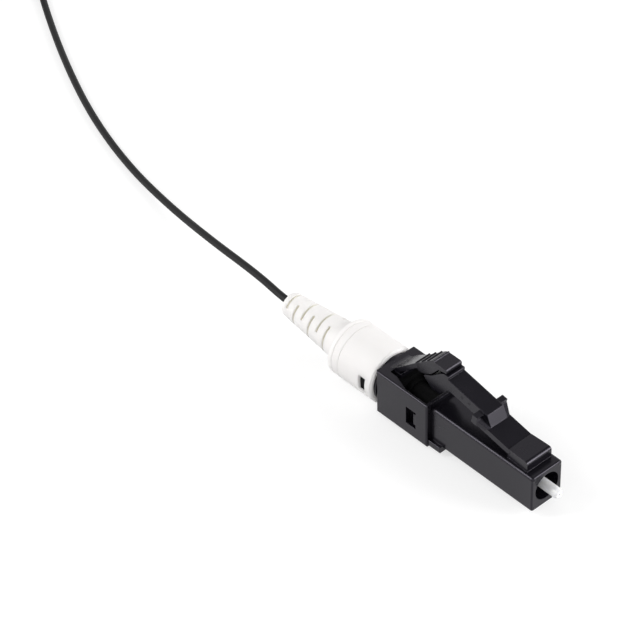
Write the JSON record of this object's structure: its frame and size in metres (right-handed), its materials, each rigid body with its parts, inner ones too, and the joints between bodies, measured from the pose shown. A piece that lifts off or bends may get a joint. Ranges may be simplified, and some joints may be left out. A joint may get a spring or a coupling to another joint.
{
  "type": "fibre connector",
  "caption": "Simplex small-form fibre connector: square plug with ceramic ferrule, sprung latch, trigger sleeve and slotted strain relief on a thin buffered cord.",
  "frame": {"origin": "on the ferrule's axis, in the plane of the housing's front face", "axes": "+X along the ferrule out of its tip, +Z towards the latch and trigger, +Y to the connector's left"},
  "size_m": [0.1393, 0.0311, 0.0115],
  "materials": {
    "ceramic": "polished white zirconia",
    "glass_fibre": "bare glass fibre",
    "plated_metal": "satin nickel plate",
    "clear_plastic": "translucent moulded plastic",
    "grey_plastic": "moulded grey plastic",
    "spring_steel": "drawn stainless wire",
    "black_plastic": "fine moulded satin black",
    "white_boot": "matte off-white elastomer",
    "cord_jacket": "satin black buffer",
    "tie_plastic": "satin black strap"
  },
  "bodies": {
    "housing": {"front_housing": "black_plastic", "trigger_sleeve": "black_plastic", "rear_body": "black_plastic", "boot": "white_boot", "spring": "spring_steel", "cord_run": "cord_jacket", "cord_coil": "cord_jacket", "coil_tie": "tie_plastic"},
    "latch": {"latch_arm": "black_plastic"},
    "trigger": {"trigger_lever": "black_plastic"},
    "ferrule_unit": {"ferrule": "ceramic", "stub_fibre": "glass_fibre", "field_fibre": "glass_fibre", "ferrule_holder": "plated_metal", "splice_upper": "clear_plastic", "splice_lower": "clear_plastic", "cam_ring": "grey_plastic", "crimp_tube": "plated_metal"}
  },
  "joints": [
    {"name": "trigger_press", "type": "hinge", "parent": "housing", "child": "trigger", "pos_m": [-0.02155, 0, 0.0032], "axis": [0, 1, 0], "range_deg": [0, 6], "stiffness_Nm_per_rad": 0.005},
    {"name": "latch_press", "type": "hinge", "parent": "housing", "child": "latch", "pos_m": [-0.0043, 0, 0.00324], "axis": [0, -1, 0], "range_deg": [0, 4.5], "stiffness_Nm_per_rad": 0.005},
    {"name": "ferrule_float", "type": "slide", "parent": "housing", "child": "ferrule_unit", "axis": [1, 0, 0], "range_m": [-0.0007, 0], "stiffness_N_per_m": 1500, "springref_m": 0.0034, "deforming": ["spring"]}
  ],
  "couplings": [
    {"joint": "latch_press", "follows": "trigger_press", "ratio": 0.75}
  ]
}
